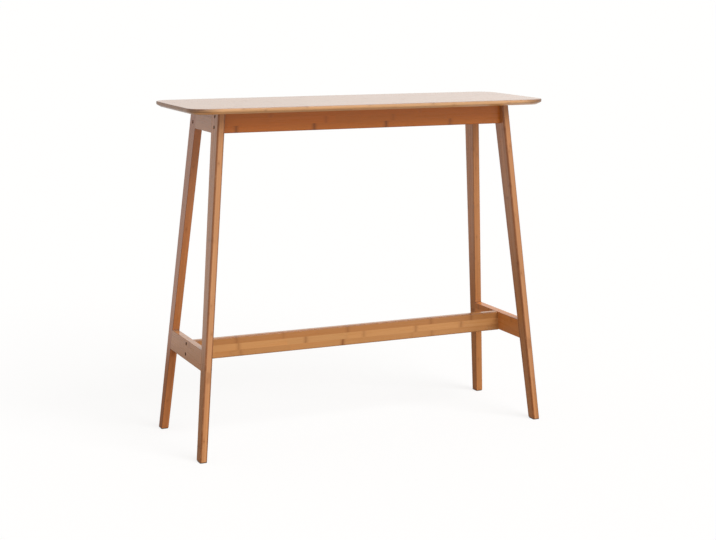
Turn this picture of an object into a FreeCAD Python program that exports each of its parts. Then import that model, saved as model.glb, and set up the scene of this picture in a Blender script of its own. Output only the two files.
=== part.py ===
import FreeCAD, Part
import math
import os

from FreeCAD import Placement, Rotation, Vector

# Bamboo bar table: a thin top with a bevelled underside on two glued end frames.
# Each end frame is two tapered legs, an apron and a stretcher, cut flush and rounded together.
# Two long aprons and a central foot rail are bolted between the frames with barrel nuts.
# Millimetres. Origin on the floor under the middle, +X along the table, +Z up.

# Tabletop
table_height = 1050.0
top_length = 1186.0
top_width = 401.0
top_thickness = 17.0
top_corner_radius = 52.0
top_end_bow = 2.0
top_side_bow = 8.0
top_arris_radius = 2.5
top_nose_radius = 5.0
bevel_width = 14.0
bevel_height = 7.5

# End frames: how far the top runs past them, how far their feet stand out, and their boards
top_end_overhang = 105.0
frame_splay = 100.0
frame_thickness = 23.5
frame_edge_round = 6.0
window_edge_round = 1.5
window_corner_radius = 2.0

# Legs: how far the top runs past their outer edges, how far their feet stand out, and their width
top_side_overhang = 73.5
leg_splay = 82.5
leg_top_width = 59.0
leg_foot_width = 33.0

# Aprons, stretchers and foot rail
apron_height = 63.0
apron_setback = 22.5
long_board_thickness = 22.0
apron_arris_radius = 3.0
stretcher_height = 61.5
stretcher_level = 299.0
rail_height = 63.0
rail_level = 296.0
rail_edge_round = 3.5

# Foot pads
pad_thickness = 3.0
pad_inset = 0.8

# Bolts and barrel nuts
bolt_diameter = 6.0
bolt_head_diameter = 10.0
bolt_head_height = 6.0
bolt_key_width = 5.0
bolt_key_depth = 3.2
bolt_key_sides = 6
bolt_tip_run = 1.5
apron_bolt_drop = 13.0
rail_bolt_drop = 9.5
bolt_spacing = 32.0
counterbore_depth = 8.0
nut_setback = 28.0
nut_diameter = 10.0
nut_length = 14.0

# Dowels
dowel_diameter = 8.0
dowel_length = 32.0
dowel_chamfer = 1.0
dowel_spacing = 30.0

# Screws that hold the top; those of the end aprons stand at a share of the apron's half length
screw_diameter = 4.5
screw_head_diameter = 8.5
screw_head_height = 2.8
screw_length = 50.0
screw_bite = 11.0
screw_point_length = 4.0
screw_slot_depth = 1.4
screw_slot_width = 1.2
long_screw_count = 4
long_screw_end_gap = 74.4
end_screw_count = 2
end_screw_share = 0.515

# Fits
bolt_clearance = 0.5
head_clearance = 0.5
thread_clearance = 0.1
nut_clearance = 0.1
dowel_clearance = 0.1
dowel_end_gap = 1.0
screw_clearance = 0.3
pilot_clearance = 0.1
counterbore_clearance = 0.8
hole_end_gap = 2.0
overrun = 5.0

# How near to a level or a plane an edge lies when it is picked for rounding
near = 0.2

# Derived places
top_underside = table_height - top_thickness
frame_top_reach = top_length / 2 - top_end_overhang
frame_foot_reach = frame_top_reach + frame_splay
leg_top_spread = top_width / 2 - top_side_overhang
leg_foot_spread = leg_top_spread + leg_splay
frame_lean = math.atan2(frame_foot_reach - frame_top_reach, top_underside)
frame_slope_length = top_underside / math.cos(frame_lean)
frame_depth = frame_thickness / math.cos(frame_lean)
leg_outer_taper = (leg_foot_spread - leg_top_spread) / frame_slope_length
leg_inner_top = leg_top_spread - leg_top_width
leg_inner_foot = leg_foot_spread - leg_foot_width
leg_inner_taper = (leg_inner_foot - leg_inner_top) / frame_slope_length
apron_bottom = top_underside - apron_height
stretcher_top = stretcher_level + stretcher_height / 2
stretcher_bottom = stretcher_level - stretcher_height / 2
rail_top = rail_level + rail_height / 2
rail_bottom = rail_level - rail_height / 2
apron_bolt_level = top_underside - apron_bolt_drop
rail_bolt_level = rail_top - rail_bolt_drop
origin = Vector(0, 0, 0)
side_names = {-1: "left", 1: "right"}
edge_names = {-1: "front", 1: "back"}


def frame_face(level):
    """Distance of an end frame's outer face from the middle of the table at a height."""
    return frame_foot_reach - level * math.tan(frame_lean)


def slope_at(level):
    """Distance up the leaning frame from the floor, for a height."""
    return level / math.cos(frame_lean)


def leg_outer(slope):
    """Outer edge of a leg from the long centre line, at a distance up the frame."""
    return leg_foot_spread - slope * leg_outer_taper


def leg_inner(slope):
    """Inner edge of a leg from the long centre line, at a distance up the frame."""
    return leg_inner_foot - slope * leg_inner_taper


def apron_line():
    """Middle of a long apron from the long centre line."""
    return leg_outer(slope_at(apron_bottom)) - apron_setback - long_board_thickness / 2


def block(low, high):
    """Box between two corners."""
    size = high - low
    return Part.makeBox(size.x, size.y, size.z, low)


def cylinder(diameter, length, start, direction):
    """Round bar of a diameter from a point along a direction."""
    return Part.makeCylinder(diameter / 2, length, start, direction)


def polygon_face(points):
    """Flat face through a list of corners."""
    return Part.Face(Part.makePolygon(points + [points[0]]))


def fused(solids):
    """One shape from several touching solids, with the seams taken out."""
    return solids[0].multiFuse(solids[1:]).removeSplitter()


def mirrored_x(shape):
    """The same shape at the other end of the table."""
    return shape.mirror(origin, Vector(1, 0, 0))


def mirrored_y(shape):
    """The same shape on the other side of the table."""
    return shape.mirror(origin, Vector(0, 1, 0))


# Tabletop


def top_blank():
    """Slab of the top with square edges: bowed sides and ends, and round corners."""
    half_length = top_length / 2
    half_width = top_width / 2
    x = half_length - top_end_bow
    y = half_width - top_side_bow
    level = top_underside
    corners = [Vector(-x, -y, level), Vector(x, -y, level), Vector(x, y, level), Vector(-x, y, level)]
    middles = [Vector(0, -half_width, level), Vector(half_length, 0, level),
               Vector(0, half_width, level), Vector(-half_length, 0, level)]
    sides = [Part.Arc(start, middle, end).toShape()
             for start, middle, end in zip(corners, middles, corners[1:] + corners[:1])]
    blank = Part.Face(Part.Wire(sides)).extrude(Vector(0, 0, top_thickness))
    upright = [e for e in blank.Edges if e.BoundBox.ZLength > top_thickness / 2]
    return blank.makeFillet(top_corner_radius, upright)


def rim_at(shape, level):
    """Edges of a shape that lie at a height."""
    return [e for e in shape.Edges if max(abs(e.BoundBox.ZMin - level), abs(e.BoundBox.ZMax - level)) < near]


def spread_evenly(count, reach):
    """Evenly spaced places from one reach to the other."""
    return [reach * (2 * i / (count - 1) - 1) for i in range(count)]


def screw_places():
    """Each top screw: the node it belongs to, and its X and Y."""
    places = []
    for side, edge_name in edge_names.items():
        for x in spread_evenly(long_screw_count, joint_face(top_underside) - long_screw_end_gap):
            places.append((edge_name, x, side * apron_line()))
    middle = frame_face((top_underside + apron_bottom) / 2) - frame_depth / 2
    for side, side_name in side_names.items():
        for y in spread_evenly(end_screw_count, end_screw_share * leg_inner_top):
            places.append((side_name, side * middle, y))
    return places


def make_tabletop():
    """Top with its rounded edge, bevelled underside and blind pilot holes."""
    top = top_blank()
    top = top.makeChamfer(bevel_height, bevel_width, rim_at(top, top_underside))
    for level, radius in ((table_height, top_arris_radius), (top_underside + bevel_height, top_nose_radius)):
        top = top.makeFillet(radius, rim_at(top, level))
    pilot = screw_diameter + 2 * pilot_clearance
    for name, x, y in screw_places():
        start = Vector(x, y, top_underside - overrun)
        depth = overrun + screw_bite + pilot_clearance
        top = top.cut(cylinder(pilot, depth, start, Vector(0, 0, 1)))
    return top


# End frames, made for the right end in the frame's own axes: local X out of the face, local Z up the slope


def frame_placement():
    """Lean that stands the right end frame on the floor."""
    turn = Rotation(Vector(0, 1, 0), -math.degrees(frame_lean))
    return Placement(Vector(frame_foot_reach, 0, 0), turn)


def frame_prism(outline):
    """Board of the frame's thickness from an outline of (across, up the slope) points."""
    face = polygon_face([Vector(0, y, z) for y, z in outline])
    return face.extrude(Vector(-frame_thickness, 0, 0))


def rounded_window(outline):
    """Cutter through the frame whose corners above the floor are rounded."""
    face = polygon_face([Vector(overrun, y, z) for y, z in outline])
    cutter = face.extrude(Vector(-frame_thickness - 2 * overrun, 0, 0))
    across = [e for e in cutter.Edges if e.BoundBox.XLength > frame_thickness / 2]
    corners = [e for e in across if e.CenterOfMass.z > 0]
    return cutter.makeFillet(window_corner_radius, corners)


def frame_blank():
    """Whole end frame in one piece, over-long at head and feet, its outer and inner edges rounded apart."""
    head = frame_slope_length + overrun + frame_thickness
    foot = -overrun - frame_thickness
    slab = frame_prism([(-leg_outer(foot), foot), (leg_outer(foot), foot),
                        (leg_outer(head), head), (-leg_outer(head), head)])
    low = slope_at(stretcher_top)
    high = slope_at(apron_bottom)
    window = rounded_window([(-leg_inner(low), low), (leg_inner(low), low),
                             (leg_inner(high), high), (-leg_inner(high), high)])
    notch_top = slope_at(stretcher_bottom)
    notch_foot = foot - overrun
    notch = rounded_window([(-leg_inner(notch_foot), notch_foot), (leg_inner(notch_foot), notch_foot),
                            (leg_inner(notch_top), notch_top), (-leg_inner(notch_top), notch_top)])
    blank = slab.cut(window).cut(notch)
    outer, inner = [], []
    for edge in blank.Edges:
        box = edge.BoundBox
        in_face = box.XLength < near
        at_end = box.ZMin > head - overrun or box.ZMax < foot + overrun
        if in_face and not at_end:
            slope = box.Center.z
            on_outer = abs(abs(box.Center.y) - leg_outer(slope)) < near
            (outer if on_outer else inner).append(edge)
    return blank.makeFillet(frame_edge_round, outer).makeFillet(window_edge_round, inner)


def leg_region(side):
    """Space that one leg takes out of the frame, inside its joint lines."""
    low = -2 * frame_thickness
    high = frame_slope_length + 2 * frame_thickness
    region = polygon_face([Vector(overrun, side * y, z) for y, z in (
        (leg_inner(low), low), (leg_foot_spread + frame_thickness, low),
        (leg_foot_spread + frame_thickness, high), (leg_inner(high), high))])
    return region.extrude(Vector(-frame_thickness - 2 * overrun, 0, 0))


def between_levels(low, high):
    """Everything between two heights, at the right end of the table."""
    reach = frame_foot_reach + leg_foot_spread
    return block(Vector(0, -reach, low), Vector(reach, reach, high))


def dowel_rows():
    """Height along the frame of the middle of each doweled joint, by the piece it belongs to."""
    return {"end_apron": slope_at((top_underside + apron_bottom) / 2), "end_stretcher": slope_at(stretcher_level)}


def dowel_places(row):
    """Middle of each dowel of a joint row, in the frame's own axes."""
    places = []
    for step in (-1, 1):
        slope = dowel_rows()[row] + step * dowel_spacing / 2
        for side in (-1, 1):
            places.append(Vector(-frame_thickness / 2, side * leg_inner(slope), slope))
    return places


def make_dowels(row):
    """Chamfered dowels of one joint row of the right end frame."""
    dowels = []
    for place in dowel_places(row):
        dowel = cylinder(dowel_diameter, dowel_length, place - Vector(0, dowel_length / 2, 0), Vector(0, 1, 0))
        ends = [e for e in dowel.Edges if isinstance(e.Curve, Part.Circle)]
        dowels.append(dowel.makeChamfer(dowel_chamfer, ends))
    group = Part.makeCompound(dowels)
    group.Placement = frame_placement()
    return group


def dowel_holes():
    """All dowel holes of the right end frame, each through both pieces of its joint."""
    holes = []
    length = dowel_length + 2 * dowel_end_gap
    for row in dowel_rows():
        for place in dowel_places(row):
            start = place - Vector(0, length / 2, 0)
            holes.append(cylinder(dowel_diameter + 2 * dowel_clearance, length, start, Vector(0, 1, 0)))
    group = Part.makeCompound(holes)
    group.Placement = frame_placement()
    return group


# Bolts, barrel nuts and screws


def bolt_seat(level):
    """Distance from the middle of the table to the floor of a bolt's counterbore, at a height."""
    return frame_face(level) - counterbore_depth


def joint_face(level):
    """Distance from the middle of the table to the inner face of an end frame, at a height."""
    return frame_face(level) - frame_depth


def bolt_levels(upper):
    """Heights of the two bolts of a joint, from the height of the upper one."""
    return (upper, upper - bolt_spacing)


def nut_place(level):
    """Distance from the middle of the table to a barrel nut's axis."""
    return joint_face(level) - nut_setback


def bolt_tip(level):
    """Distance from the middle of the table to a bolt's tip."""
    return nut_place(level) - nut_diameter / 2 - bolt_tip_run


def make_bolt(y, level):
    """Socket-head bolt at the right end, with its head in the counterbore and its tip past the nut."""
    inward = Vector(-1, 0, 0)
    seat = Vector(bolt_seat(level), y, level)
    head = cylinder(bolt_head_diameter, bolt_head_height, seat, Vector(1, 0, 0))
    shank = cylinder(bolt_diameter, seat.x - bolt_tip(level), seat, inward)
    key = bolt_key_width / math.sqrt(3)
    turns = [2 * math.pi * step / bolt_key_sides for step in range(bolt_key_sides)]
    corners = [Vector(seat.x + bolt_head_height, y + key * math.cos(turn), level + key * math.sin(turn))
               for turn in turns]
    socket = polygon_face(corners).extrude(inward * bolt_key_depth)
    return fused([head, shank]).cut(socket)


def bolt_holes(y, level):
    """Counterbore and clearance hole for one bolt, through the frame and into the board's end."""
    inward = Vector(-1, 0, 0)
    mouth = Vector(frame_face(level) + overrun, y, level)
    counterbore = cylinder(bolt_head_diameter + 2 * head_clearance, overrun + counterbore_depth, mouth, inward)
    length = mouth.x - bolt_tip(level) + hole_end_gap
    return counterbore.fuse(cylinder(bolt_diameter + 2 * bolt_clearance, length, mouth, inward))


def make_nut(y, level):
    """Barrel nut across the board, with its cross hole on the bolt."""
    start = Vector(nut_place(level), y - nut_length / 2, level)
    nut = cylinder(nut_diameter, nut_length, start, Vector(0, 1, 0))
    thread_start = Vector(nut_place(level) - nut_diameter, y, level)
    thread = cylinder(bolt_diameter + 2 * thread_clearance, 2 * nut_diameter, thread_start, Vector(1, 0, 0))
    return nut.cut(thread)


def nut_hole(y, level, inward):
    """Blind hole for a barrel nut, drilled from the face that looks inward, -1 or +1 along Y."""
    start = Vector(nut_place(level), y - inward * nut_length / 2, level)
    length = nut_length + long_board_thickness
    return cylinder(nut_diameter + 2 * nut_clearance, length, start, Vector(0, inward, 0))


def make_screw(x, y):
    """Pan-head wood screw, up through an apron into the top."""
    tip = top_underside + screw_bite
    seat = tip - screw_length
    up = Vector(0, 0, 1)
    shank = cylinder(screw_diameter, screw_length - screw_point_length, Vector(x, y, seat), up)
    point_base = Vector(x, y, tip - screw_point_length)
    point = Part.makeCone(screw_diameter / 2, 0, screw_point_length, point_base, up)
    head = cylinder(screw_head_diameter, screw_head_height, Vector(x, y, seat - screw_head_height), up)
    screw = fused([shank, point, head])
    for along, across in ((1, 0), (0, 1)):
        half = Vector(screw_slot_width / 2, screw_slot_width / 2, 0)
        reach = Vector(along * screw_diameter / 2, across * screw_diameter / 2, 0)
        low = Vector(x, y, seat - screw_head_height) - half - reach
        high = Vector(x, y, seat - screw_head_height + screw_slot_depth) + half + reach
        screw = screw.cut(block(low, high))
    return screw


def screw_holes(x, y):
    """Counterbore from below and clearance hole through an apron."""
    up = Vector(0, 0, 1)
    seat = top_underside + screw_bite - screw_length
    low = apron_bottom - frame_thickness
    counterbore = cylinder(screw_head_diameter + 2 * counterbore_clearance, seat - low, Vector(x, y, low), up)
    through = top_underside + overrun - low
    return counterbore.fuse(cylinder(screw_diameter + 2 * screw_clearance, through, Vector(x, y, low), up))


# Long boards


def long_board(y, low, high):
    """Board between the end frames, its ends cut to their lean."""
    inner_low = joint_face(low)
    inner_high = joint_face(high)
    start = y - long_board_thickness / 2
    outline = [Vector(-inner_low, start, low), Vector(inner_low, start, low),
               Vector(inner_high, start, high), Vector(-inner_high, start, high)]
    return polygon_face(outline).extrude(Vector(0, long_board_thickness, 0))


def round_edges(board, levels, radius):
    """Round a long board's edges that lie at the given heights."""
    chosen = []
    for edge in board.Edges:
        box = edge.BoundBox
        level_found = any(abs(box.Center.z - level) < radius for level in levels)
        if box.XLength > long_board_thickness and level_found:
            chosen.append(edge)
    return board.makeFillet(radius, chosen)


def drill_for_bolts(board, y, upper, nut_side):
    """Bolt and barrel-nut holes at both ends of a long board."""
    for level in bolt_levels(upper):
        cutter = bolt_holes(y, level).fuse(nut_hole(y, level, nut_side))
        board = board.cut(cutter).cut(mirrored_x(cutter))
    return board


def make_long_apron(side):
    """Long apron on one side, drilled for its bolts, nuts and top screws."""
    y = side * apron_line()
    board = long_board(y, apron_bottom, top_underside)
    board = round_edges(board, (apron_bottom,), apron_arris_radius)
    board = drill_for_bolts(board, y, apron_bolt_level, -side)
    for name, x, place in screw_places():
        if name == edge_names[side]:
            board = board.cut(screw_holes(x, place))
    return board


def make_foot_rail():
    """Central rail, rounded on its four long edges and drilled for its bolts and nuts."""
    board = long_board(0, rail_bottom, rail_top)
    board = round_edges(board, (rail_bottom, rail_top), rail_edge_round)
    return drill_for_bolts(board, 0, rail_bolt_level, 1)


# Pieces of the end frames


def make_frame_pieces():
    """Legs, apron and stretcher of the right end frame, in the table's axes."""
    blank = frame_blank()
    blank.Placement = frame_placement()
    blank = blank.common(between_levels(pad_thickness, top_underside))
    blank = blank.cut(dowel_holes())
    for side in edge_names:
        for level in bolt_levels(apron_bolt_level):
            blank = blank.cut(bolt_holes(side * apron_line(), level))
    for level in bolt_levels(rail_bolt_level):
        blank = blank.cut(bolt_holes(0, level))
    for name, x, y in screw_places():
        if name == side_names[1]:
            blank = blank.cut(screw_holes(x, y))
    regions = {}
    for side, name in edge_names.items():
        regions["leg_" + name] = leg_region(side)
        regions["leg_" + name].Placement = frame_placement()
    pieces = {name: blank.common(region) for name, region in regions.items()}
    rest = blank.cut(regions["leg_front"]).cut(regions["leg_back"])
    middle = (apron_bottom + stretcher_top) / 2
    pieces["end_apron"] = rest.common(between_levels(middle, table_height))
    pieces["end_stretcher"] = rest.common(between_levels(0, middle))
    return pieces


def make_pad(side):
    """Thin pad under a right-hand leg, a little smaller than its foot all round."""
    slope = slope_at(pad_thickness)
    outer_face = frame_face(pad_thickness)
    low = Vector(outer_face - frame_depth + pad_inset, leg_inner(slope) + pad_inset, 0)
    high = Vector(outer_face - pad_inset, leg_outer(slope) - pad_inset, pad_thickness)
    pad = block(low, high)
    upright = [e for e in pad.Edges if e.BoundBox.ZLength > pad_thickness / 2]
    outer = [e for e in upright if e.BoundBox.YMin > high.y - near]
    inner = [e for e in upright if e.BoundBox.YMax < low.y + near]
    pad = pad.makeFillet(frame_edge_round - pad_inset, outer)
    pad = pad.makeFillet(window_edge_round - pad_inset, inner)
    return pad if side > 0 else mirrored_y(pad)


# Assembly


def build():
    """Every node of the table by name."""
    nodes = {"tabletop": make_tabletop()}
    frame = make_frame_pieces()
    for side, name in edge_names.items():
        frame["foot_pad_" + name] = make_pad(side)
    for row in dowel_rows():
        frame[row + "_dowels"] = make_dowels(row)
    frame["rail_bolts"] = Part.makeCompound([make_bolt(0, level) for level in bolt_levels(rail_bolt_level)])
    frame["rail_barrel_nuts"] = Part.makeCompound([make_nut(0, level) for level in bolt_levels(rail_bolt_level)])
    for side, name in edge_names.items():
        y = side * apron_line()
        levels = bolt_levels(apron_bolt_level)
        frame["apron_bolts_" + name] = Part.makeCompound([make_bolt(y, level) for level in levels])
        frame["apron_barrel_nuts_" + name] = Part.makeCompound([make_nut(y, level) for level in levels])
        nodes["long_apron_" + name] = make_long_apron(side)
    for name, shape in frame.items():
        nodes[name + "_right"] = shape
        nodes[name + "_left"] = mirrored_x(shape)
    nodes["foot_rail"] = make_foot_rail()
    for group in list(edge_names.values()) + list(side_names.values()):
        screws = [make_screw(x, y) for name, x, y in screw_places() if name == group]
        nodes["top_screws_" + group] = Part.makeCompound(screws)
    return nodes


os.makedirs("parts", exist_ok=True)
for node, shape in sorted(build().items()):
    box = shape.BoundBox
    print(node, len(shape.Solids), "solids", round(shape.Volume), "mm3", shape.isValid(),
          [round(v, 2) for v in (box.XMin, box.YMin, box.ZMin, box.XMax, box.YMax, box.ZMax)])
    shape.exportStep(os.path.join("parts", node + ".step"))
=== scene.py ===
"""Bar table in caramel bamboo: its finishes, fittings, studio and camera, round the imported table.

Metres, in the table's own frame: origin on the floor under the middle, +X along the table, +Y to the back.
"""

import math

import bpy
import numpy as np
from bpy.props import FloatProperty, FloatVectorProperty, IntProperty, PointerProperty
from mathutils import Matrix, Vector


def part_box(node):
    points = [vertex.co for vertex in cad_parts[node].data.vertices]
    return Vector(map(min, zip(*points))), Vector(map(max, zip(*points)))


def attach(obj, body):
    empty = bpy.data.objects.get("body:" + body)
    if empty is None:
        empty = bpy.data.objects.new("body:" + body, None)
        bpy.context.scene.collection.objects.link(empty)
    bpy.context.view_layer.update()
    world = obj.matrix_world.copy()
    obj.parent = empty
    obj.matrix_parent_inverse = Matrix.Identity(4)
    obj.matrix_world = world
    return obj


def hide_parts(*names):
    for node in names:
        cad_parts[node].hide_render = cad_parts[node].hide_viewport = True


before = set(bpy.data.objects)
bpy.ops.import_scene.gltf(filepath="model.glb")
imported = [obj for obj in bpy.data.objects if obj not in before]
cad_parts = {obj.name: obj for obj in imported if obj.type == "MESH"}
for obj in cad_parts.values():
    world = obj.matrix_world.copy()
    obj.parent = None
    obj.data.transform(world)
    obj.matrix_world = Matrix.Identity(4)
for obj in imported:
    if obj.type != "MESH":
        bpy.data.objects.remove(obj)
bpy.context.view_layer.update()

bl_info = {
    "name": "Bamboo bar table",
    "version": (1, 0, 0),
    "blender": (4, 5, 0),
    "location": "3D View > Sidebar > Bar table",
    "description": "Finishes, fittings and studio for a bamboo bar table",
    "category": "Object",
}

PHOTO_WIDTH = 716
FRONT_BACK = ("front", "back")
LEFT_RIGHT = ("left", "right")
CORNERS = [edge + "_" + side for edge in FRONT_BACK for side in LEFT_RIGHT]

# Colour of each board against the mean bamboo, as no two boards of the table match. The tints of the
# tabletop, the front long apron and the right end stretcher are partly painted light as well: they brighten
# faces that lie in shade.
TINTS = {
    "tabletop": (1.36, 1.75, 2.02),
    "leg_front_left": (1.05, 1.15, 1.25),
    "leg_front_right": (1.01, 1.07, 1.13),
    "leg_back_left": (0.90, 0.78, 0.68),
    "leg_back_right": (1.00, 0.98, 0.86),
    "end_apron_left": (1.02, 1.25, 1.70),
    "end_apron_right": (0.90, 0.85, 0.80),
    "end_stretcher_left": (1.16, 1.34, 1.55),
    "end_stretcher_right": (1.49, 1.34, 0.96),
    "long_apron_front": (1.36, 0.98, 0.42),
    "long_apron_back": (1.26, 0.97, 0.60),
    "foot_rail": (1.26, 1.45, 1.35),
}
# Tone of each strip across a wide face, from 0 for deep to 1 for pale, on the boards that show them
TONES = {
    "foot_rail": (0.00, 0.90, 0.45),
    "long_apron_front": (0.48, 0.56, 0.50),
}
# Knuckles that stand out: how far along the board from its middle, on which strip, and how dark
MARKS = {
    "long_apron_front": (
        (-0.427, 2, 0.9), (-0.177, 2, 1.0), (0.064, 2, 1.0), (0.288, 2, 0.7),
        (-0.138, 1, 0.4), (0.088, 1, 0.3), (-0.317, 0, 0.3),
    ),
    "foot_rail": (
        (-0.036, 2, 1.0), (-0.384, 2, 0.4), (0.285, 2, 0.4),
        (-0.391, 1, 0.5), (-0.165, 1, 0.6), (0.038, 1, 0.4), (0.226, 1, 0.5), (0.394, 1, 0.5),
        (-0.397, 0, 0.5), (-0.240, 0, 0.3), (-0.019, 0, 0.5), (0.282, 0, 0.5), (0.432, 0, 0.6),
    ),
}

# First number of the chances of each kind of board, and what is added to it for each thing drawn
SEEDS = {
    "tabletop": 1.0,
    "leg": 10.0,
    "end_apron": 20.0,
    "end_stretcher": 30.0,
    "long_apron": 40.0,
    "foot_rail": 50.0,
}
CHANCES = {"tone": 0.0, "shift": 3.1, "force": 5.7, "start": 7.3, "stretch": 11.9}

# Noises that run with the grain: waves to the metre along it and across it, and detail
GRAIN_NOISES = {
    "ripple": (60.0, 140.0, 2.0),
    "cloud": (2.6, 26.0, 2.0),
    "band": (5.0, 110.0, 3.0),
    "streak": (12.0, 640.0, 3.0),
    "hair": (30.0, 2100.0, 2.0),
}
STREAK_RISE = (0.50, 0.70)
HAIR_RISE = (0.50, 0.75)
STREAK_SHARE = 0.6

# What makes up the tone of a board, with chance for its strips or with tones from the list
TONE_SHARES = {"tone": 0.40, "stretch": 0.26, "band": 0.16, "cloud": 0.18}
LISTED_TONE_SHARES = {"tone": 0.76, "stretch": 0.12, "band": 0.12}
# What makes up the relief of the lacquer and adds to its roughness
RELIEF_SHARES = {"bundles": -0.35, "knuckle": 0.6, "seam": -0.6, "band": 0.3}
ROUGHNESS_SHARES = {"bundles": 0.05, "knuckle": 0.08, "rubbed": 0.12, "end_grain": 0.15, "band": 0.05}

# How much of their colours the fibres, the seams and the rubbed places show
FIBRE_SHARE = 0.15
SEAM_SHARE = 0.30
RUBBED_SHARE = 0.25
# Warmer lengths of the strips
WARM_TINT = (1.03, 0.96, 0.90)
WARM_STRETCH_RISE = (0.2, 0.9)
WARM_CLOUD_RISE = (0.3, 0.7)

# How far a knuckle strays from its steady step, as a share of the spacing
STRAY_SHARE = 0.24
# Where a knuckle's line starts and ends to fade, as shares of its half width, and how dark line and band are
LINE_FADE_SHARES = (0.3, 1.6)
LINE_SHARE = 0.38
BAND_SHARE = 0.40
# How dark knuckles drawn by chance are at most, on boards without and with listed knuckles
CHANCE_KNUCKLE_SHARE = 0.60
QUIET_KNUCKLE_SHARE = 0.15

# Shrinks the pattern so that a board's faces stay inside its outer strips and layers
INSIDE_SHARE = 0.998
# How softly the outer layers give way to the shifted ones, in layers
LAYER_BLUR = 0.01

# How squarely a surface faces along the grain to count as a cut end, or along an axis to count as flat
END_RISE = (0.12, 0.60)
FLAT_RISE = (0.70, 0.98)
# How far an edge turns from every axis where painted shade darkens it, and where it is rubbed
PAINTED_SHADE_EDGE_RISE = (0.005, 0.07)
RUBBED_EDGE_RISE = (0.16, 0.28)
# The noises that make both uneven: waves to the metre, where they rise, and how much the first takes off
PAINTED_SHADE_WAVES = 25.0
PAINTED_SHADE_RISE = (0.25, 0.50)
PAINTED_SHADE_SHARE = 0.3
RUBBED_WAVES = 60.0
RUBBED_RISE = (0.54, 0.70)

# How far a direction turns to the side where the studio starts to mirror brighter, and where it is brightest
SIDE_RISE = (0.25, 0.60)
# White of the floor and of the surroundings
WHITE = (1.0, 1.0, 1.0)


# Settings that a user would change


def colour(name, description, default):
    """Colour property with linear red, green and blue."""
    return FloatVectorProperty(name=name, description=description, default=default, subtype="COLOR",
                               size=3, min=0.0, max=1.0)


def length(name, description, default):
    """Length property in metres."""
    return FloatProperty(name=name, description=description, default=default, unit="LENGTH", precision=5)


def angle(name, description, default_degrees):
    """Angle property, given in degrees and kept in radians."""
    return FloatProperty(name=name, description=description, default=math.radians(default_degrees),
                         unit="ROTATION")


def share(name, description, default):
    """Number from 0 to 1."""
    return FloatProperty(name=name, description=description, default=default, subtype="FACTOR",
                         min=0.0, max=1.0)


class BambooSettings(bpy.types.PropertyGroup):
    """Laminated bamboo: its strips, its knuckles and its lacquer."""

    strip_width: length("Strip width", "Width of one bamboo strip on a wide face, about", 0.0203)
    layer: length("Layer", "Thickness of one layer of strips, about", 0.0058)
    knuckle_spacing: length("Knuckle spacing", "Distance between the knuckles of a strip", 0.205)
    knuckle_core: length("Knuckle core", "Half width of the dark line at a knuckle", 0.0028)
    knuckle_halo: length("Knuckle halo", "Half width of the shade round a knuckle", 0.0140)
    knuckle_ripple: length("Knuckle ripple", "How far a knuckle's line wanders along the strip", 0.0060)
    listed_ripple: length("Listed ripple", "The same for the knuckles that are listed one by one", 0.0050)
    tone_step: length("Tone step", "Length over which the tone changes at a knuckle", 0.001)
    glue_line: length("Glue line", "Half width of the dark line between strips", 0.00014)
    pale: colour("Pale strip", "Colour of the palest strips", (0.560, 0.262, 0.112))
    deep: colour("Deep strip", "Colour of the deepest strips", (0.385, 0.152, 0.055))
    knuckle: colour("Knuckle", "Colour of the line at a knuckle", (0.190, 0.056, 0.012))
    fibre: colour("Fibre", "Colour of the dark fibre bundles", (0.260, 0.095, 0.036))
    relief: length("Relief", "Height of the knuckles and fibres under the lacquer", 0.00006)
    end_grain: colour("End grain", "Shade of the cut ends", (0.42, 0.36, 0.30))
    corner_start: length("Corner start", "Distance from the top's ends where cut fibres begin", 0.100)
    corner_full: length("Corner full", "Distance from the top's ends where cut fibres are full", 0.040)
    corner_share: share("Corner share", "How dark the cut fibres are on the top's rounded corners", 0.85)
    # Painted shade: the rounded edges are darkened in their colour to stand in for shade; edge start and
    # edge full keep it off the top's bevel
    edge_shade: colour("Edge shade", "Shade of the edges, where the lacquer gathers", (0.56, 0.45, 0.36))
    edge_start: length("Edge start", "Height above the top's middle where its edge darkens", 0.002)
    edge_full: length("Edge full", "Height above the top's middle where its edge is darkest", 0.005)
    worn: colour("Worn edge", "Colour where the lacquer is thin on an edge", (0.680, 0.400, 0.210))
    roughness: share("Lacquer roughness", "Roughness of the satin lacquer", 0.25)
    top_roughness: share("Top roughness", "Roughness of the tabletop's glossier lacquer", 0.12)
    gloss: share("Lacquer gloss", "Specular level of the satin lacquer", 0.36)
    top_gloss: share("Top gloss", "Specular level of the tabletop's lacquer", 0.80)


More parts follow.
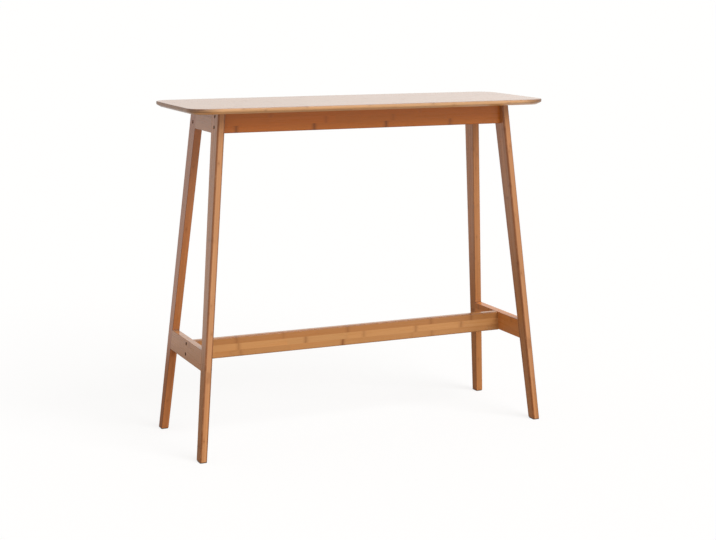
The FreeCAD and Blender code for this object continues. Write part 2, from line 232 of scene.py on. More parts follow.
class FittingSettings(bpy.types.PropertyGroup):
    """Metal fittings and foot pads."""

    bolt: colour("Bolt", "Dark bronze of the bolts", (0.045, 0.026, 0.020))
    bolt_worn: colour("Worn bolt", "Paler bronze where the coat is thin", (0.11, 0.07, 0.05))
    head_height: length("Head height", "Height of a bolt's head", 0.006)
    shank: length("Shank", "Diameter of a bolt's shank", 0.006)
    thread_length: length("Thread length", "Length of a bolt's thread", 0.024)
    pitch: length("Pitch", "Pitch of a bolt's thread", 0.001)
    key_width: length("Key width", "Width across the flats of a bolt's socket", 0.005)
    key_depth: length("Key depth", "Depth of a bolt's socket", 0.0032)
    around: IntProperty(name="Points round", description="Points round a bolt, six times a whole number",
                        default=48, min=12)
    zinc: colour("Zinc", "Zinc plate of the hidden steel", (0.560, 0.550, 0.520))
    zinc_dull: colour("Dull zinc", "Duller patches of the zinc plate", (0.42, 0.43, 0.44))
    beech: colour("Beech", "Wood of the dowels", (0.560, 0.380, 0.210))
    beech_fleck: colour("Beech fleck", "Short dark flecks in the beech", (0.36, 0.21, 0.10))
    felt: colour("Felt", "Felt of the foot pads", (0.060, 0.042, 0.032))
    felt_hair: colour("Felt hair", "Paler hairs of the felt", (0.15, 0.11, 0.085))
    felt_corner: length("Felt corner", "Radius of a foot pad's corners", 0.0040)
    felt_bulge: length("Felt bulge", "How far a pressed pad stands out half way up", 0.0003)
    felt_fuzz: length("Felt fuzz", "How uneven the edge of the felt is", 0.00008)


class StudioSettings(bpy.types.PropertyGroup):
    """Camera and light."""

    camera_place: FloatVectorProperty(name="Camera place", description="Where the camera stands",
                                      default=(-1.9190, -4.2366, 1.3912), subtype="TRANSLATION", size=3)
    camera_yaw: angle("Camera yaw", "Turn of the camera to the right from straight ahead", 24.607)
    camera_pitch: angle("Camera pitch", "Tilt of the camera below the horizon", 10.762)
    camera_roll: angle("Camera roll", "Turn of the camera about its own line of sight", -0.313)
    focal_pixels: FloatProperty(name="Focal length in pixels", description="Of a picture 716 pixels wide",
                                default=1480.0)
    key_turn: angle("Key turn", "Turn of the key light to the right of the table's front", 20.0)
    key_height: angle("Key height", "Height of the key light above the horizon", 44.0)
    key_spread: angle("Key spread", "Angle that the key light's soft disc fills", 42.0)
    key_strength: FloatProperty(name="Key strength", description="Light of the key lamp", default=2.35)
    key_colour: colour("Key colour", "Colour of the key light", (0.97, 0.985, 1.0))
    ambient: FloatProperty(name="Ambient", description="Light from all round", default=0.52)
    ambient_colour: colour("Ambient colour", "Colour of the light from all round", (1.0, 0.93, 0.84))
    floor: colour("Floor", "Floor where it throws light back on the table", (0.73, 0.67, 0.59))
    dim_middle: share("Dim middle", "How bright the studio mirrors straight ahead and behind", 0.89)
    floor_white: share("Floor white", "How much of the floor's look is plain white to the camera", 0.80)
    card_place: FloatVectorProperty(name="Dark card's place", description="Middle of the floor's dark part",
                                    default=(-0.35, 0.0, 0.0), subtype="TRANSLATION", size=3)
    card: share("Dark card", "How bright the floor mirrors near the table, as with dark cards", 0.16)
    sweep_start: length("Sweep start", "Distance from the card's place where mirrors brighten", 1.3)
    sweep_end: length("Sweep end", "Distance from the card's place where mirrors are white", 2.1)


# Shader trees written as expressions


class Wire:
    """One output of a shader tree. Sums on it add Math nodes."""

    def __init__(self, tree, socket):
        self.tree = tree
        self.socket = socket

    def maths(self, operation, *values):
        """Math node on these values."""
        return self.tree.node("ShaderNodeMath", {"operation": operation}, dict(enumerate(values)))

    def __add__(self, other):
        return self.maths("ADD", self, other)

    def __radd__(self, other):
        return self.maths("ADD", other, self)

    def __sub__(self, other):
        return self.maths("SUBTRACT", self, other)

    def __rsub__(self, other):
        return self.maths("SUBTRACT", other, self)

    def __mul__(self, other):
        return self.maths("MULTIPLY", self, other)

    def __rmul__(self, other):
        return self.maths("MULTIPLY", other, self)

    def __truediv__(self, other):
        return self.maths("DIVIDE", self, other)

    def floor(self):
        return self.maths("FLOOR", self)

    def fraction(self):
        return self.maths("FRACT", self)

    def size(self):
        return self.maths("ABSOLUTE", self)

    def larger(self, other):
        return self.maths("MAXIMUM", self, other)

    def equals(self, whole):
        """1 where a whole number is this one, 0 elsewhere."""
        return self.maths("COMPARE", self, whole, 0.5)

    def rise(self, low, high):
        """0 below low, 1 above high and smooth between."""
        span = {"Value": self, "From Min": low, "From Max": high}
        return self.tree.node("ShaderNodeMapRange", {"interpolation_type": "SMOOTHSTEP"}, span)

    def fall(self, low, high):
        """1 below low, 0 above high and smooth between."""
        span = {"Value": self, "From Min": low, "From Max": high, "To Min": 1.0, "To Max": 0.0}
        return self.tree.node("ShaderNodeMapRange", {"interpolation_type": "SMOOTHSTEP"}, span)


class Tree:
    """Node tree of one material or of the world."""

    def __init__(self, owner):
        owner.use_nodes = True
        self.tree = owner.node_tree
        self.tree.nodes.clear()

    def node(self, kind, settings=None, values=None, output=0):
        """New node: its settings are set first, then its sockets get values or wires."""
        new = self.tree.nodes.new(kind)
        for name, setting in (settings or {}).items():
            if name == "steps":
                self.set_steps(new.color_ramp, setting)
            else:
                setattr(new, name, setting)
        for name, value in (values or {}).items():
            self.feed(self.found(new.inputs, name), value)
        return Wire(self, self.found(new.outputs, output)) if len(new.outputs) else new

    def found(self, sockets, name):
        """Socket by its place, or the first one in use with that name."""
        if isinstance(name, int):
            return sockets[name]
        return next(s for s in sockets if s.name == name and s.enabled)

    def feed(self, socket, value):
        """Wire or plain value into a socket."""
        if isinstance(value, Wire):
            self.tree.links.new(value.socket, socket)
        elif hasattr(value, "__len__") and len(value) == 3 and len(socket.default_value) == 4:
            socket.default_value = (*value, 1.0)
        else:
            socket.default_value = value

    def set_steps(self, ramp, greys):
        """Equal steps of grey on a ramp."""
        ramp.interpolation = "CONSTANT"
        while len(ramp.elements) < len(greys):
            ramp.elements.new(1.0)
        for step, (element, grey) in enumerate(zip(ramp.elements, greys)):
            element.position = step / len(greys)
            element.color = (grey, grey, grey, 1.0)

    def mix(self, factor, a, b):
        """Colour between a and b."""
        values = {"Factor": factor, "A": a, "B": b}
        return self.node("ShaderNodeMix", {"data_type": "RGBA"}, values, "Result")

    def tint(self, factor, a, b):
        """Colour a multiplied by b, as far as the factor says."""
        values = {"Factor": factor, "A": a, "B": b}
        return self.node("ShaderNodeMix", {"data_type": "RGBA", "blend_type": "MULTIPLY"}, values, "Result")

    def parts(self, vector):
        """The three numbers of a vector."""
        split = self.tree.nodes.new("ShaderNodeSeparateXYZ")
        self.feed(split.inputs[0], vector)
        return [Wire(self, socket) for socket in split.outputs]

    def vector(self, x, y, z):
        """Vector of three numbers."""
        return self.node("ShaderNodeCombineXYZ", None, {0: x, 1: y, 2: z})

    def dot(self, a, b):
        """How far vector a goes along vector b."""
        return self.node("ShaderNodeVectorMath", {"operation": "DOT_PRODUCT"}, {0: a, 1: b}, "Value")

    def noise(self, vector, waves, detail=2.0):
        """Smooth noise from 0 to 1, with so many waves to the metre."""
        values = {"Vector": vector, "Scale": waves, "Detail": detail}
        return self.node("ShaderNodeTexNoise", None, values, "Fac")

    def chance(self, vector, seed):
        """Number from 0 to 1 that is the same wherever the vector is."""
        settings = {"noise_dimensions": "4D"}
        return self.node("ShaderNodeTexWhiteNoise", settings, {"Vector": vector, "W": seed})


class Finish(Tree):
    """Material with a Principled shader."""

    def __init__(self, name):
        self.material = bpy.data.materials.new(name)
        super().__init__(self.material)
        self.place = self.node("ShaderNodeTexCoord", None, None, "Object")

    def surface(self, values):
        """Closes the tree with a Principled shader that has these values."""
        shader = self.node("ShaderNodeBsdfPrincipled", None, values)
        self.node("ShaderNodeOutputMaterial", None, {"Surface": shader})
        return self.material

    def bump(self, height, distance, strength=1.0):
        """Normal of a surface with this height."""
        values = {"Height": height, "Distance": distance, "Strength": strength}
        return self.node("ShaderNodeBump", None, values)

    def facing(self, axes):
        """How squarely the surface faces along each of three axes, from 0 to 1 either way."""
        normal = self.node("ShaderNodeNewGeometry", None, None, "Normal")
        return [self.dot(normal, tuple(axis)).size() for axis in axes]


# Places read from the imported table


def points_of(node):
    """Corners of a node's mesh as an array."""
    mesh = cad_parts[node].data
    flat = np.empty(len(mesh.vertices) * 3, np.float32)
    mesh.vertices.foreach_get("co", flat)
    return flat.reshape(-1, 3).astype(float)


def middle_of(points):
    """Middle of the box round some points."""
    return (points.min(axis=0) + points.max(axis=0)) / 2


def leg_line(corner):
    """Middle of a leg and the direction from its foot to its head."""
    points = points_of("leg_" + corner)
    height = points[:, 2]
    near = 0.0005
    foot = middle_of(points[height < height.min() + near])
    head = middle_of(points[height > height.max() - near])
    return (foot + head) / 2, head - foot


def frame_normal(side):
    """Direction through the boards of an end frame, square to the lean of its legs."""
    rise = leg_line("front_" + side)[1] + leg_line("back_" + side)[1]
    return (rise[2], 0.0, -rise[0])


class Board:
    """A board's own axes and size: X along the grain, Y across its wide face and Z through it."""

    def __init__(self, node, along, through, centre=None):
        x = Vector(along).normalized()
        y = Vector(through).cross(x).normalized()
        points = points_of(node)
        self.node = node
        self.axes = (x, y, x.cross(y))
        self.turn = Matrix(self.axes).transposed().to_euler()
        self.centre = middle_of(points) if centre is None else centre
        reach = np.abs((points - self.centre) @ np.array(self.axes).T).max(axis=0)
        self.length = 2 * reach[0]
        self.width = 2 * reach[1]
        self.thickness = 2 * reach[2]


def dress(node, material):
    """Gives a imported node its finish."""
    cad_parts[node].material_slots[0].material = material


# Finishes


class Bamboo(Finish):
    """Laminated bamboo in a board's own axes.

    Strips about two centimetres wide lie in thin layers, and the inner layers are shifted by half a strip.
    Every strip has a tone of its own, which changes a little at each knuckle. It has faint knuckles at
    steady steps, and fibre bundles that show as streaks along the faces and as dots on the ends. The cut
    ends are darker. The rounded edges are darker too, as painted shade, but for some rubbed places.
    """

    def __init__(self, board, seed):
        super().__init__("bamboo_" + board.node)
        self.look = bpy.context.scene.bar_table_bamboo
        self.board = board
        self.seed = seed
        self.is_top = board.node == "tabletop"
        place = self.node("ShaderNodeMapping", {"vector_type": "TEXTURE"},
                          {"Vector": self.place, "Location": board.centre, "Rotation": board.turn})
        self.along, self.across, self.through = self.parts(place)
        self.masks = {"band": self.grain("band"), "cloud": self.grain("cloud")}
        self.lay_strips()
        self.grow_knuckles()
        self.bundle_fibres()
        self.turn_edges()
        look = self.look
        polish = self.masks["polish"] * (look.top_roughness - look.roughness) + look.roughness
        self.surface({
            "Base Color": self.wood(),
            "Roughness": self.total(ROUGHNESS_SHARES) + polish,
            "Normal": self.bump(self.total(RELIEF_SHARES), look.relief, strength=0.5),
            "IOR": 1.5,
            "Specular IOR Level": look.top_gloss if self.is_top else look.gloss,
        })

    def grain(self, name):
        """One of the listed noises that run with the grain."""
        along, across, detail = GRAIN_NOISES[name]
        place = self.vector(self.along * along, self.across * across, self.through * across)
        return self.noise(place, 1.0, detail)

    def draw(self, name, number=0.0):
        """Chance from 0 to 1 for one thing, the same all over a strip, or over one length of it."""
        return self.chance(self.vector(self.strip, self.layer, number), self.seed + CHANCES[name])

    def total(self, shares):
        """Sum of some masks, each times its share."""
        first, *others = [self.masks[name] * part for name, part in shares.items()]
        return sum(others, first)

    def lay_strips(self):
        """Finds the strip and the layer, and the seams between them."""
        board = self.board
        strips = max(1, round(board.width / self.look.strip_width))
        layers = max(1, round(board.thickness / self.look.layer))
        strip_width = board.width / strips
        layer_height = board.thickness / layers
        depth = self.through * (INSIDE_SHARE / layer_height)
        outer = (depth.size() + (layers % 2) / 2 - (layers - 1) // 2).rise(-LAYER_BLUR, LAYER_BLUR)
        step = self.across * (INSIDE_SHARE / strip_width) + (1.0 - outer) * 0.5 + strips / 2
        self.layer = (depth + layers / 2).floor()
        self.strip = step.floor()
        side = (step.fraction() - 0.5).size() * strip_width
        face = ((depth + layers / 2).fraction() - 0.5).size() * layer_height
        line = self.look.glue_line
        side_seam = side.rise(strip_width / 2 - line * 2, strip_width / 2 - line)
        face_seam = face.rise(layer_height / 2 - line * 2, layer_height / 2 - line)
        self.masks["seam"] = side_seam.larger(face_seam)

    def grow_knuckles(self):
        """Draws knuckles at steady steps and a chance for each length between, and adds the listed ones."""
        look = self.look
        marks = MARKS.get(self.board.node, ())
        darkest = QUIET_KNUCKLE_SHARE if marks else CHANCE_KNUCKLE_SHARE
        ripple = self.grain("ripple") - 0.5
        march = self.along / look.knuckle_spacing + self.draw("start")
        number = march.floor()
        middle = self.draw("shift", number) * STRAY_SHARE + (1.0 - STRAY_SHARE) / 2
        gap = (march.fraction() - middle) * look.knuckle_spacing + ripple * look.knuckle_ripple
        force = self.draw("force", number)
        knuckle = self.knuckle(gap) * force * force * darkest
        for place_along, strip, darkness in marks:
            mark = self.knuckle(self.along + ripple * look.listed_ripple - place_along) * darkness
            knuckle = (mark * self.strip.equals(strip)).larger(knuckle)
        self.masks["knuckle"] = knuckle
        self.masks["stretch"] = self.draw("stretch", number + gap.rise(0.0, look.tone_step))

    def knuckle(self, gap):
        """Darkness at a distance from a knuckle: a narrow line in a wider soft band."""
        core = self.look.knuckle_core
        distance = gap.size()
        line = distance.fall(*[core * part for part in LINE_FADE_SHARES])
        band = distance.fall(core, self.look.knuckle_halo)
        return line * LINE_SHARE + band * BAND_SHARE

    def bundle_fibres(self):
        """Lays the dark fibre bundles, long along the grain."""
        streaks = self.grain("streak").rise(*STREAK_RISE)
        hairs = self.grain("hair").rise(*HAIR_RISE)
        self.masks["bundles"] = streaks * STREAK_SHARE + hairs * (1.0 - STREAK_SHARE)

    def turn_edges(self):
        """Finds the cut ends, the rounded edges and the flat faces that are polished most.

        The sides of the top show cut fibres on its rounded corners too, and its bevel has no painted edge
        shade.
        """
        look = self.look
        half_length = self.board.length / 2
        to_end, to_side, to_face = self.facing(self.board.axes)
        end_grain = to_end.rise(*END_RISE)
        edge = 1.0 - to_end.larger(to_side).larger(to_face)
        if self.is_top:
            corner = self.along.size().rise(half_length - look.corner_start, half_length - look.corner_full)
            end_grain = end_grain.larger(corner * to_face.fall(*FLAT_RISE) * look.corner_share)
            edge = edge * self.through.rise(look.edge_start, look.edge_full)
        # Painted shade on the rounded edges, made uneven by a noise
        cloud = self.noise(self.place, PAINTED_SHADE_WAVES).rise(*PAINTED_SHADE_RISE)
        gathered = cloud * PAINTED_SHADE_SHARE + (1.0 - PAINTED_SHADE_SHARE)
        rubbed = self.noise(self.place, RUBBED_WAVES, detail=3.0).rise(*RUBBED_RISE)
        self.masks["end_grain"] = end_grain
        self.masks["gathered"] = edge.rise(*PAINTED_SHADE_EDGE_RISE) * gathered
        self.masks["rubbed"] = rubbed * edge.rise(*RUBBED_EDGE_RISE)
        self.masks["polish"] = (to_face if self.is_top else to_side).rise(*FLAT_RISE)

    def wood(self):
        """Colour of the bamboo."""
        look = self.look
        masks = self.masks
        node = self.board.node
        if node in TONES:
            share_across = self.across / self.board.width + 0.5
            masks["tone"] = self.node("ShaderNodeValToRGB", {"steps": TONES[node]}, {"Fac": share_across})
            tone = self.total(LISTED_TONE_SHARES)
        else:
            masks["tone"] = self.draw("tone")
            tone = self.total(TONE_SHARES)
        warm = masks["stretch"].rise(*WARM_STRETCH_RISE) * masks["cloud"].rise(*WARM_CLOUD_RISE)
        wood = self.tint(1.0, self.mix(tone, look.deep, look.pale), TINTS[node])
        wood = self.tint(warm, wood, WARM_TINT)
        wood = self.mix(masks["bundles"] * FIBRE_SHARE, wood, look.fibre)
        wood = self.mix(masks["knuckle"], wood, look.knuckle)
        wood = self.mix(masks["seam"] * SEAM_SHARE, wood, look.knuckle)
        wood = self.tint(masks["end_grain"], wood, look.end_grain)
        # Painted shade that darkens the rounded edges
        wood = self.tint(masks["gathered"], wood, look.edge_shade)
        return self.mix(masks["rubbed"] * RUBBED_SHARE, wood, look.worn)


def dark_bronze():
    """Dark bronze coat on steel, a little worn and uneven."""
    look = bpy.context.scene.bar_table_fittings
    tree = Finish("dark_bronze")
    cloud = tree.noise(tree.place, waves=900.0)
    speck = tree.noise(tree.place, waves=5200.0)
    return tree.surface({
        "Base Color": tree.mix(cloud * 0.6, look.bolt, look.bolt_worn),
        "Metallic": 0.55,
        "Roughness": cloud * 0.18 + 0.34,
        "Normal": tree.bump(speck, distance=0.00003),
    })


def zinc_plate():
    """Zinc plate with a faint grain."""
    look = bpy.context.scene.bar_table_fittings
    tree = Finish("zinc_plate")
    cloud = tree.noise(tree.place, waves=400.0)
    return tree.surface({
        "Base Color": tree.mix(cloud * 0.5, look.zinc, look.zinc_dull),
        "Metallic": 1.0,
        "Roughness": cloud * 0.2 + 0.3,
    })


def beech():
    """Plain beech with short dark flecks."""
    look = bpy.context.scene.bar_table_fittings
    tree = Finish("beech")
    x, y, z = tree.parts(tree.place)
    waves_across = 1400.0
    waves_along = 160.0
    fleck = tree.noise(tree.vector(x * waves_across, y * waves_along, z * waves_across), 1.0)
    return tree.surface({
        "Base Color": tree.mix(fleck.rise(0.5, 0.8) * 0.5, look.beech, look.beech_fleck),
        "Roughness": 0.6,
    })


def felt():
    """Dark felt with matted hairs."""
    look = bpy.context.scene.bar_table_fittings
    tree = Finish("felt")
    hairs = tree.noise(tree.place, waves=1600.0, detail=4.0)
    mat = tree.noise(tree.place, waves=260.0)
    return tree.surface({
        "Base Color": tree.mix(hairs * 0.5 + mat * 0.3, look.felt, look.felt_hair),
        "Roughness": 0.95,
        "Normal": tree.bump(hairs, distance=0.0003),
    })


# New surfaces


def closed_mesh(name, shells, material):
    """Mesh object of closed shells, each from an array of rings of points of shape (rings, round, 3).

    Point j of ring i is joined to its neighbours in both directions, and each end ring is closed by one
    many-sided face. A shell whose volume comes out negative has its faces turned round.
    """
    points = []
    faces = []
    for rings in shells:
        count, around = rings.shape[:2]
        i, j = np.meshgrid(np.arange(count - 1), np.arange(around), indexing="ij")
        a = i * around + j
        b = i * around + (j + 1) % around
        quads = np.stack([a, b, b + around, a + around], axis=-1).reshape(-1, 4)
        flat = rings.reshape(-1, 3)
        p, q, r, s = [flat[quads[:, k]] - flat.mean(axis=0) for k in range(4)]
        volume = (np.cross(p, q) * r + np.cross(p, r) * s).sum()
        order = 1 if volume > 0 else -1
        start = sum(len(part) for part in points)
        caps = [np.arange(around)[::-1], np.arange((count - 1) * around, count * around)]
        faces += [(face[::order] + start).tolist() for face in list(quads) + caps]
        points.append(flat)
    mesh = bpy.data.meshes.new(name)
    mesh.from_pydata(np.concatenate(points).tolist(), [], faces)
    mesh.validate()
    mesh.materials.append(material)
    piece = bpy.data.objects.new(name, mesh)
    bpy.context.scene.collection.objects.link(piece)
    return piece


def add_piece(piece, node):
    """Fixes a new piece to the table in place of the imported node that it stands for."""
    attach(piece, "root")
    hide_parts(node)


def bolt_rings(outside, tip, y, z, head_radius, fittings):
    """Rings of a socket-head bolt along X, from its tip to the floor of its socket.

    Each ring stands at a depth under the head's outer face. The thread's radius rises and falls once for
    each pitch of depth, shifted by one pitch round the bolt, which makes a helix. The socket's radius at an
    angle is half the key width over the cosine of the angle to the nearest flat.
    """
    turn = np.arange(fittings.around) / fittings.around * 2 * np.pi
    reach = abs(outside - tip)
    shank = fittings.shank / 2
    pitch = fittings.pitch
    root_share = 0.9
    chamfer_share = 0.4
    tip_share = 0.75
    socket_end_share = 0.3
    steps_in_pitch = 6
    root = root_share * shank
    chamfer = chamfer_share * pitch
    flat = np.ones_like(turn)
    hexagon = fittings.key_width / 2 / np.cos((turn + np.pi / 6) % (np.pi / 3) - np.pi / 6)
    rings = [(reach, tip_share * shank * flat), (reach - chamfer, root * flat)]
    for depth in np.arange(reach - pitch, reach - fittings.thread_length, -pitch / steps_in_pitch):
        phase = (depth / pitch + turn / (2 * np.pi)) % 1.0
        rings.append((depth, root + (shank - root) * (1.0 - np.abs(2.0 * phase - 1.0))))
    rings += [
        (reach - fittings.thread_length - chamfer, shank * flat),
        (fittings.head_height, shank * flat),
        (fittings.head_height, (head_radius - chamfer) * flat),
        (fittings.head_height - chamfer, head_radius * flat),
        (2 * chamfer, head_radius * flat),
        (chamfer / 2, (head_radius - chamfer) * flat),
        (0.0, (head_radius - 2 * chamfer) * flat),
        (0.0, hexagon + chamfer / 2),
        (chamfer / 2, hexagon),
        (fittings.key_depth, hexagon),
        (fittings.key_depth + chamfer, socket_end_share * hexagon),
    ]
    depths = np.array([depth for depth, radius in rings])[:, None] * np.ones_like(turn)
    radii = np.array([radius for depth, radius in rings])
    inward = 1.0 if tip > outside else -1.0
    x = outside + inward * depths
    return np.stack([x, y + radii * np.cos(turn), z + radii * np.sin(turn)], axis=-1)


def make_bolts(node, material):
    """The two bolts of a joint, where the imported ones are."""
    fittings = bpy.context.scene.bar_table_fittings
    points = points_of(node)
    middle = middle_of(points)[2]
    shells = []
    for bolt in (points[points[:, 2] > middle], points[points[:, 2] < middle]):
        low, high = bolt.min(axis=0), bolt.max(axis=0)
        outside, tip = (high[0], low[0]) if high[0] > 0 else (low[0], high[0])
        y, z = middle_of(bolt)[1:]
        shells.append(bolt_rings(outside, tip, y, z, (high[2] - low[2]) / 2, fittings))
    add_piece(closed_mesh(node.replace("_bolts_", "_socket_bolts_"), shells, material), node)


def make_pad(corner, number, material):
    """Felt pad pressed under a foot.

    Each ring is a rounded rectangle: a circle of the corner radius, moved out to the four corners by the
    sign of its sine and cosine. The rings swell half way up, and all points of the edge are a little uneven.
    """
    fittings = bpy.context.scene.bar_table_fittings
    node = "foot_pad_" + corner
    low, high = [np.array(point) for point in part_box(node)]
    points_round = 96
    levels = 7
    loose_share = 0.8
    turn = (np.arange(points_round) + 0.5) / points_round * 2 * np.pi
    heights = np.linspace(0.0, 1.0, levels)
    swell = fittings.felt_bulge * (2.0 * np.sin(np.pi * heights) - 1.0)
    uneven = np.random.default_rng(number).normal(0.0, fittings.felt_fuzz, (levels, points_round))
    loose = np.sin(np.pi * heights) * loose_share + 1.0 - loose_share
    radius = fittings.felt_corner + (swell[:, None] + uneven) * loose[:, None]
    half = (high - low) / 2 - fittings.felt_corner
    centre = (low + high) / 2
    x = centre[0] + half[0] * np.sign(np.cos(turn)) + radius * np.cos(turn)
    y = centre[1] + half[1] * np.sign(np.sin(turn)) + radius * np.sin(turn)
    z = low[2] + heights[:, None] * (high[2] - low[2]) * np.ones_like(turn)
    add_piece(closed_mesh("felt_pad_" + corner, [np.stack([x, y, z], axis=-1)], material), node)


# Operators, one for each kind of piece


class BARTABLE_OT_tabletop(bpy.types.Operator):
    """Finish the tabletop, with its strips along the table"""

    bl_idname = "bartable.tabletop"
    bl_label = "Tabletop"

    def execute(self, context):
        board = Board("tabletop", along=(1, 0, 0), through=(0, 0, 1))
        dress(board.node, Bamboo(board, SEEDS["tabletop"]).material)
        return {"FINISHED"}


class BARTABLE_OT_legs(bpy.types.Operator):
    """Finish the four legs, with the grain along each leg"""

    bl_idname = "bartable.legs"
    bl_label = "Legs"

    def execute(self, context):
        for number, corner in enumerate(CORNERS):
            centre, rise = leg_line(corner)
            board = Board("leg_" + corner, rise, frame_normal(corner.split("_")[1]), centre)
            dress(board.node, Bamboo(board, SEEDS["leg"] + number).material)
        return {"FINISHED"}


class BARTABLE_OT_end_boards(bpy.types.Operator):
    """Finish the aprons and stretchers of the end frames, with the grain across the table"""

    bl_idname = "bartable.end_boards"
    bl_label = "End aprons and stretchers"

    def execute(self, context):
        for number, side in enumerate(LEFT_RIGHT):
            for kind in ("end_apron", "end_stretcher"):
                board = Board(kind + "_" + side, along=(0, 1, 0), through=frame_normal(side))
                dress(board.node, Bamboo(board, SEEDS[kind] + number).material)
        return {"FINISHED"}


class BARTABLE_OT_long_aprons(bpy.types.Operator):
    """Finish the long aprons under the top"""

    bl_idname = "bartable.long_aprons"
    bl_label = "Long aprons"

    def execute(self, context):
        for number, edge in enumerate(FRONT_BACK):
            board = Board("long_apron_" + edge, along=(1, 0, 0), through=(0, 1, 0))
            dress(board.node, Bamboo(board, SEEDS["long_apron"] + number).material)
        return {"FINISHED"}


class BARTABLE_OT_foot_rail(bpy.types.Operator):
    """Finish the foot rail between the end frames"""

    bl_idname = "bartable.foot_rail"
    bl_label = "Foot rail"

    def execute(self, context):
        board = Board("foot_rail", along=(1, 0, 0), through=(0, 1, 0))
        dress(board.node, Bamboo(board, SEEDS["foot_rail"]).material)
        return {"FINISHED"}


class BARTABLE_OT_bolts(bpy.types.Operator):
    """Make the socket-head bolts of the aprons and of the foot rail"""

    bl_idname = "bartable.bolts"
    bl_label = "Bolts"

    def execute(self, context):
        material = dark_bronze()
        for corner in CORNERS:
            make_bolts("apron_bolts_" + corner, material)
        for side in LEFT_RIGHT:
            make_bolts("rail_bolts_" + side, material)
        return {"FINISHED"}


class BARTABLE_OT_pads(bpy.types.Operator):
    """Make the felt pads under the feet"""

    bl_idname = "bartable.pads"
    bl_label = "Foot pads"

    def execute(self, context):
        material = felt()
        for number, corner in enumerate(CORNERS):
            make_pad(corner, number, material)
        return {"FINISHED"}


class BARTABLE_OT_hidden_fittings(bpy.types.Operator):
    """Finish the barrel nuts, screws and dowels inside the joints"""

    bl_idname = "bartable.hidden_fittings"
    bl_label = "Hidden fittings"

    def execute(self, context):
        zinc = zinc_plate()
        finishes = {"_barrel_nuts_": zinc, "top_screws_": zinc, "_dowels_": beech()}
        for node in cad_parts:
            for part, material in finishes.items():
                if part in node:
                    dress(node, material)
        return {"FINISHED"}


class BARTABLE_OT_stage(bpy.types.Operator):
    """Set the pale floor, the studio light and the camera"""

    bl_idname = "bartable.stage"
    bl_label = "Stage"

    def execute(self, context):
        studio = context.scene.bar_table_studio
        make_floor(studio)
        make_world(studio)
        make_key_light(studio)
        make_camera(studio)
        context.scene.view_settings.view_transform = "Standard"
        return {"FINISHED"}


def make_floor(studio):
    """Wide pale floor: nearly white to the camera, with the table's shadow, and white in far mirrors."""
    reach = 400.0
    mesh = bpy.data.meshes.new("floor")
    mesh.from_pydata([(-reach, -reach, 0), (reach, -reach, 0), (reach, reach, 0), (-reach, reach, 0)], [],
                     [(0, 1, 2, 3)])
    floor = bpy.data.objects.new("floor", mesh)
    bpy.context.scene.collection.objects.link(floor)
    tree = Tree(bpy.data.materials.new("pale_floor"))
    seen = tree.node("ShaderNodeLightPath", None, None, "Is Camera Ray")
    mirrored = tree.node("ShaderNodeLightPath", None, None, "Is Glossy Ray")
    place = tree.node("ShaderNodeNewGeometry", None, None, "Position")
    distance = tree.node("ShaderNodeVectorMath", {"operation": "DISTANCE"},
                         {0: place, 1: studio.card_place}, "Value")
    plain = tree.node("ShaderNodeBsdfDiffuse", None, {"Color": tree.mix(seen, studio.floor, WHITE)})
    far = distance.rise(studio.sweep_start, studio.sweep_end)
    strength = seen.larger(far * (side_brightness(tree, place, studio) - studio.card) + studio.card)
    glow = tree.node("ShaderNodeEmission", None, {"Color": WHITE, "Strength": strength})
    whiteness = seen * studio.floor_white + mirrored
    shown = tree.node("ShaderNodeMixShader", None, {0: whiteness, 1: plain, 2: glow})
    clear = tree.node("ShaderNodeBsdfTransparent")
    behind = tree.node("ShaderNodeNewGeometry", None, None, "Backfacing")
    sided = tree.node("ShaderNodeMixShader", None, {0: behind, 1: shown, 2: clear})
    tree.node("ShaderNodeOutputMaterial", None, {"Surface": sided})
    mesh.materials.append(bpy.data.materials["pale_floor"])


def side_brightness(tree, direction, studio):
    """How bright the studio mirrors in a direction: 1 to either side, dimmer to the front and back."""
    one_long = tree.node("ShaderNodeVectorMath", {"operation": "NORMALIZE"}, {0: direction})
    across = tree.dot(one_long, (1, 0, 0))
    return across.size().rise(*SIDE_RISE) * (1.0 - studio.dim_middle) + studio.dim_middle


def make_world(studio):
    """White surroundings to the camera, in mirrors and through glass, with a plain ambient light."""
    world = bpy.data.worlds.new("studio")
    bpy.context.scene.world = world
    tree = Tree(world)
    rays = [tree.node("ShaderNodeLightPath", None, None, "Is %s Ray" % kind)
            for kind in ("Camera", "Glossy", "Transmission")]
    white = rays[0].larger(rays[1]).larger(rays[2])
    direction = tree.node("ShaderNodeTexCoord", None, None, "Generated")
    bright = rays[0].larger(side_brightness(tree, direction, studio))
    strength = white * (bright - studio.ambient) + studio.ambient
    shade = tree.mix(white, studio.ambient_colour, WHITE)
    light = tree.node("ShaderNodeBackground", None, {"Color": shade, "Strength": strength})
    tree.node("ShaderNodeOutputWorld", None, {"Surface": light})


def make_key_light(studio):
    """Soft key light from the front right."""
    lamp = bpy.data.lights.new("key_light", "SUN")
    lamp.energy = studio.key_strength
    lamp.color = studio.key_colour
    lamp.angle = studio.key_spread
    key = bpy.data.objects.new("key_light", lamp)
    turn, height = studio.key_turn, studio.key_height
    level = math.cos(height)
    towards = Vector((math.sin(turn) * level, -math.cos(turn) * level, math.sin(height)))
    key.rotation_euler = towards.to_track_quat("Z", "Y").to_euler()
    bpy.context.scene.collection.objects.link(key)


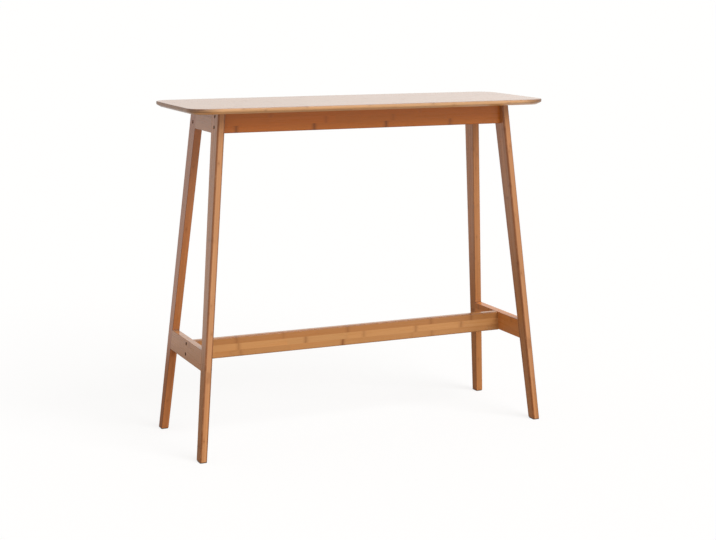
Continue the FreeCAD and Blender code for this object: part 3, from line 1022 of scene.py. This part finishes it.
def make_camera(studio):
    """Camera at the photograph's place, turned by its yaw, pitch and roll."""
    data = bpy.data.cameras.new("camera")
    data.sensor_width = 36.0
    data.lens = studio.focal_pixels / PHOTO_WIDTH * data.sensor_width
    camera = bpy.data.objects.new("camera", data)
    camera.location = studio.camera_place
    upright = Matrix.Rotation(math.pi / 2 - studio.camera_pitch, 3, "X")
    turned = Matrix.Rotation(-studio.camera_yaw, 3, "Z") @ upright
    rolled = turned @ Matrix.Rotation(-studio.camera_roll, 3, "Z")
    camera.rotation_euler = rolled.to_euler()
    bpy.context.scene.collection.objects.link(camera)
    bpy.context.scene.camera = camera


class BARTABLE_PT_panel(bpy.types.Panel):
    """Sidebar panel that lists the pieces and the settings"""

    bl_idname = "BARTABLE_PT_panel"
    bl_label = "Bar table"
    bl_space_type = "VIEW_3D"
    bl_region_type = "UI"
    bl_category = "Bar table"

    def draw(self, context):
        for operator in OPERATORS:
            self.layout.operator(operator.bl_idname)
        for name in SETTINGS:
            group = getattr(context.scene, name)
            box = self.layout.box()
            for key in group.bl_rna.properties.keys():
                if key not in ("rna_type", "name"):
                    box.prop(group, key)


OPERATORS = (
    BARTABLE_OT_tabletop,
    BARTABLE_OT_legs,
    BARTABLE_OT_end_boards,
    BARTABLE_OT_long_aprons,
    BARTABLE_OT_foot_rail,
    BARTABLE_OT_bolts,
    BARTABLE_OT_pads,
    BARTABLE_OT_hidden_fittings,
    BARTABLE_OT_stage,
)
SETTINGS = {
    "bar_table_bamboo": BambooSettings,
    "bar_table_fittings": FittingSettings,
    "bar_table_studio": StudioSettings,
}


def register():
    """Adds the settings, operators and panel to Blender."""
    for name, group in SETTINGS.items():
        bpy.utils.register_class(group)
        setattr(bpy.types.Scene, name, PointerProperty(type=group))
    for kind in OPERATORS + (BARTABLE_PT_panel,):
        bpy.utils.register_class(kind)


def unregister():
    """Takes them out again."""
    for kind in reversed(OPERATORS + (BARTABLE_PT_panel,)):
        bpy.utils.unregister_class(kind)
    for name, group in reversed(SETTINGS.items()):
        delattr(bpy.types.Scene, name)
        bpy.utils.unregister_class(group)


def main():
    """Makes every piece."""
    register()
    for operator in OPERATORS:
        group, name = operator.bl_idname.split(".")
        getattr(getattr(bpy.ops, group), name)()


if __name__ == "__main__":
    main()
